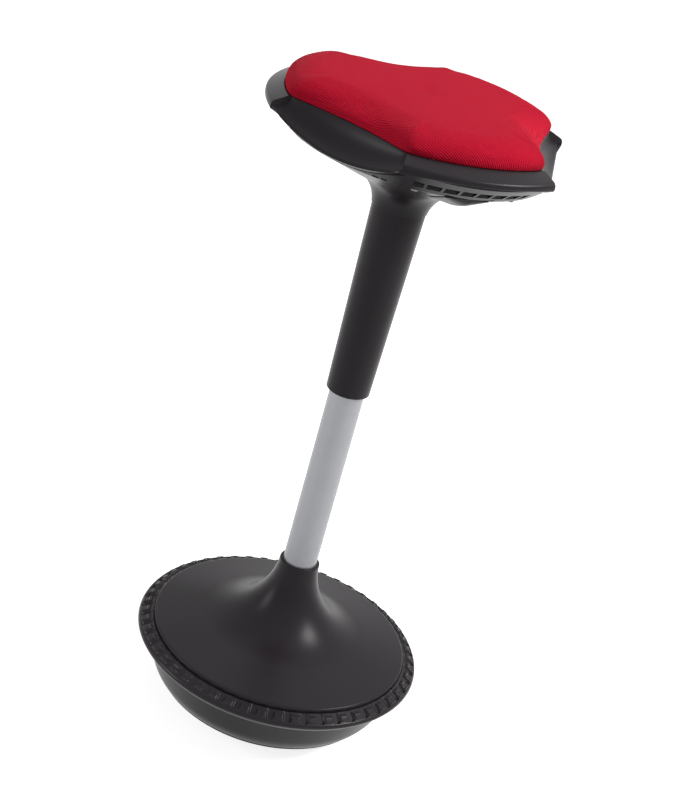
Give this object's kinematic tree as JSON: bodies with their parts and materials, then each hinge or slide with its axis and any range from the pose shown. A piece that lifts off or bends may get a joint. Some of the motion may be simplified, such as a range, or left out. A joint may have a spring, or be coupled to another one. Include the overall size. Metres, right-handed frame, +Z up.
{
  "type": "bar stool",
  "caption": "Height-adjustable bar stool: three-lobed upholstered seat with hand recesses on a gas-spring column, standing on a weighted domed base that lets it rock.",
  "frame": {"origin": "on the floor, at the column's axis, under the middle of the domed base", "axes": "+Z up along the column; +X towards one of the three hand recesses"},
  "size_m": [0.3659, 0.3666, 0.8376],
  "materials": {
    "sole_rubber": "matt moulded rubber",
    "black_plastic": "fine-textured black plastic",
    "ballast_iron": "rough casting",
    "plate_steel": "black powder coat",
    "zinc_steel": "zinc plated",
    "tread_plastic": "soft black plastic",
    "silver_tube": "satin silver lacquer",
    "bearing_steel": "ground steel",
    "bush_plastic": "machined plastic",
    "cage_brass": "turned brass",
    "rod_chrome": "hard chrome",
    "cylinder_paint": "black lacquer",
    "board_wood": "raw plywood",
    "foam": "open-cell foam",
    "red_knit": "fine ribbed knit"
  },
  "bodies": {
    "base": {"rubber_sole": "sole_rubber", "base_shell": "black_plastic", "ballast_disc": "ballast_iron", "base_plate": "plate_steel", "base_bolts": "zinc_steel", "tread_ring": "tread_plastic", "base_cover": "black_plastic", "outer_tube": "silver_tube", "tube_plug": "plate_steel", "lower_race": "bearing_steel", "guide_bush": "bush_plastic"},
    "bearing": {"bearing_cage": "cage_brass", "bearing_balls": "bearing_steel"},
    "spindle": {"upper_race": "bearing_steel", "rod_clip": "bearing_steel", "piston_rod": "rod_chrome", "bump_stop": "sole_rubber", "piston_head": "bearing_steel"},
    "seat": {"gas_cylinder": "cylinder_paint", "rod_seal": "bush_plastic", "valve_body": "cage_brass", "seat_plate": "plate_steel", "seat_bolts": "zinc_steel", "sleeve": "black_plastic", "lower_bowl": "black_plastic", "bowl_screws": "zinc_steel", "upper_pan": "black_plastic", "cushion_board": "board_wood", "board_screws": "zinc_steel", "foam_pad": "foam", "fabric_cover": "red_knit", "lever_pin": "zinc_steel", "lever_spring": "bearing_steel"},
    "valve": {"valve_pin": "bearing_steel"},
    "lever": {"release_lever": "plate_steel", "release_paddle": "black_plastic"}
  },
  "joints": [
    {"name": "seat_swivel", "type": "hinge", "parent": "base", "child": "spindle", "pos_m": [0, 0, 0.0442], "axis": [0, 0, 1], "continuous": true},
    {"name": "bearing_roll", "type": "hinge", "parent": "base", "child": "bearing", "pos_m": [0, 0, 0.0401], "axis": [0, 0, 1], "continuous": true},
    {"name": "seat_height", "type": "slide", "parent": "spindle", "child": "seat", "axis": [0, 0, 1], "range_m": [-0.237, 0]},
    {"name": "lever_lift", "type": "hinge", "parent": "seat", "child": "lever", "pos_m": [0.013, -0.02252, 0.7665], "axis": [-0.866, -0.5, 0], "range_deg": [0, 6], "stiffness_Nm_per_rad": 0.5, "springref_deg": -5.73},
    {"name": "valve_press", "type": "slide", "parent": "seat", "child": "valve", "axis": [0, 0, -1], "range_m": [0, 0.0035]}
  ],
  "couplings": [
    {"joint": "bearing_roll", "follows": "seat_swivel", "ratio": 0.5},
    {"joint": "valve_press", "follows": "lever_lift", "m_per_rad": 0.03}
  ]
}
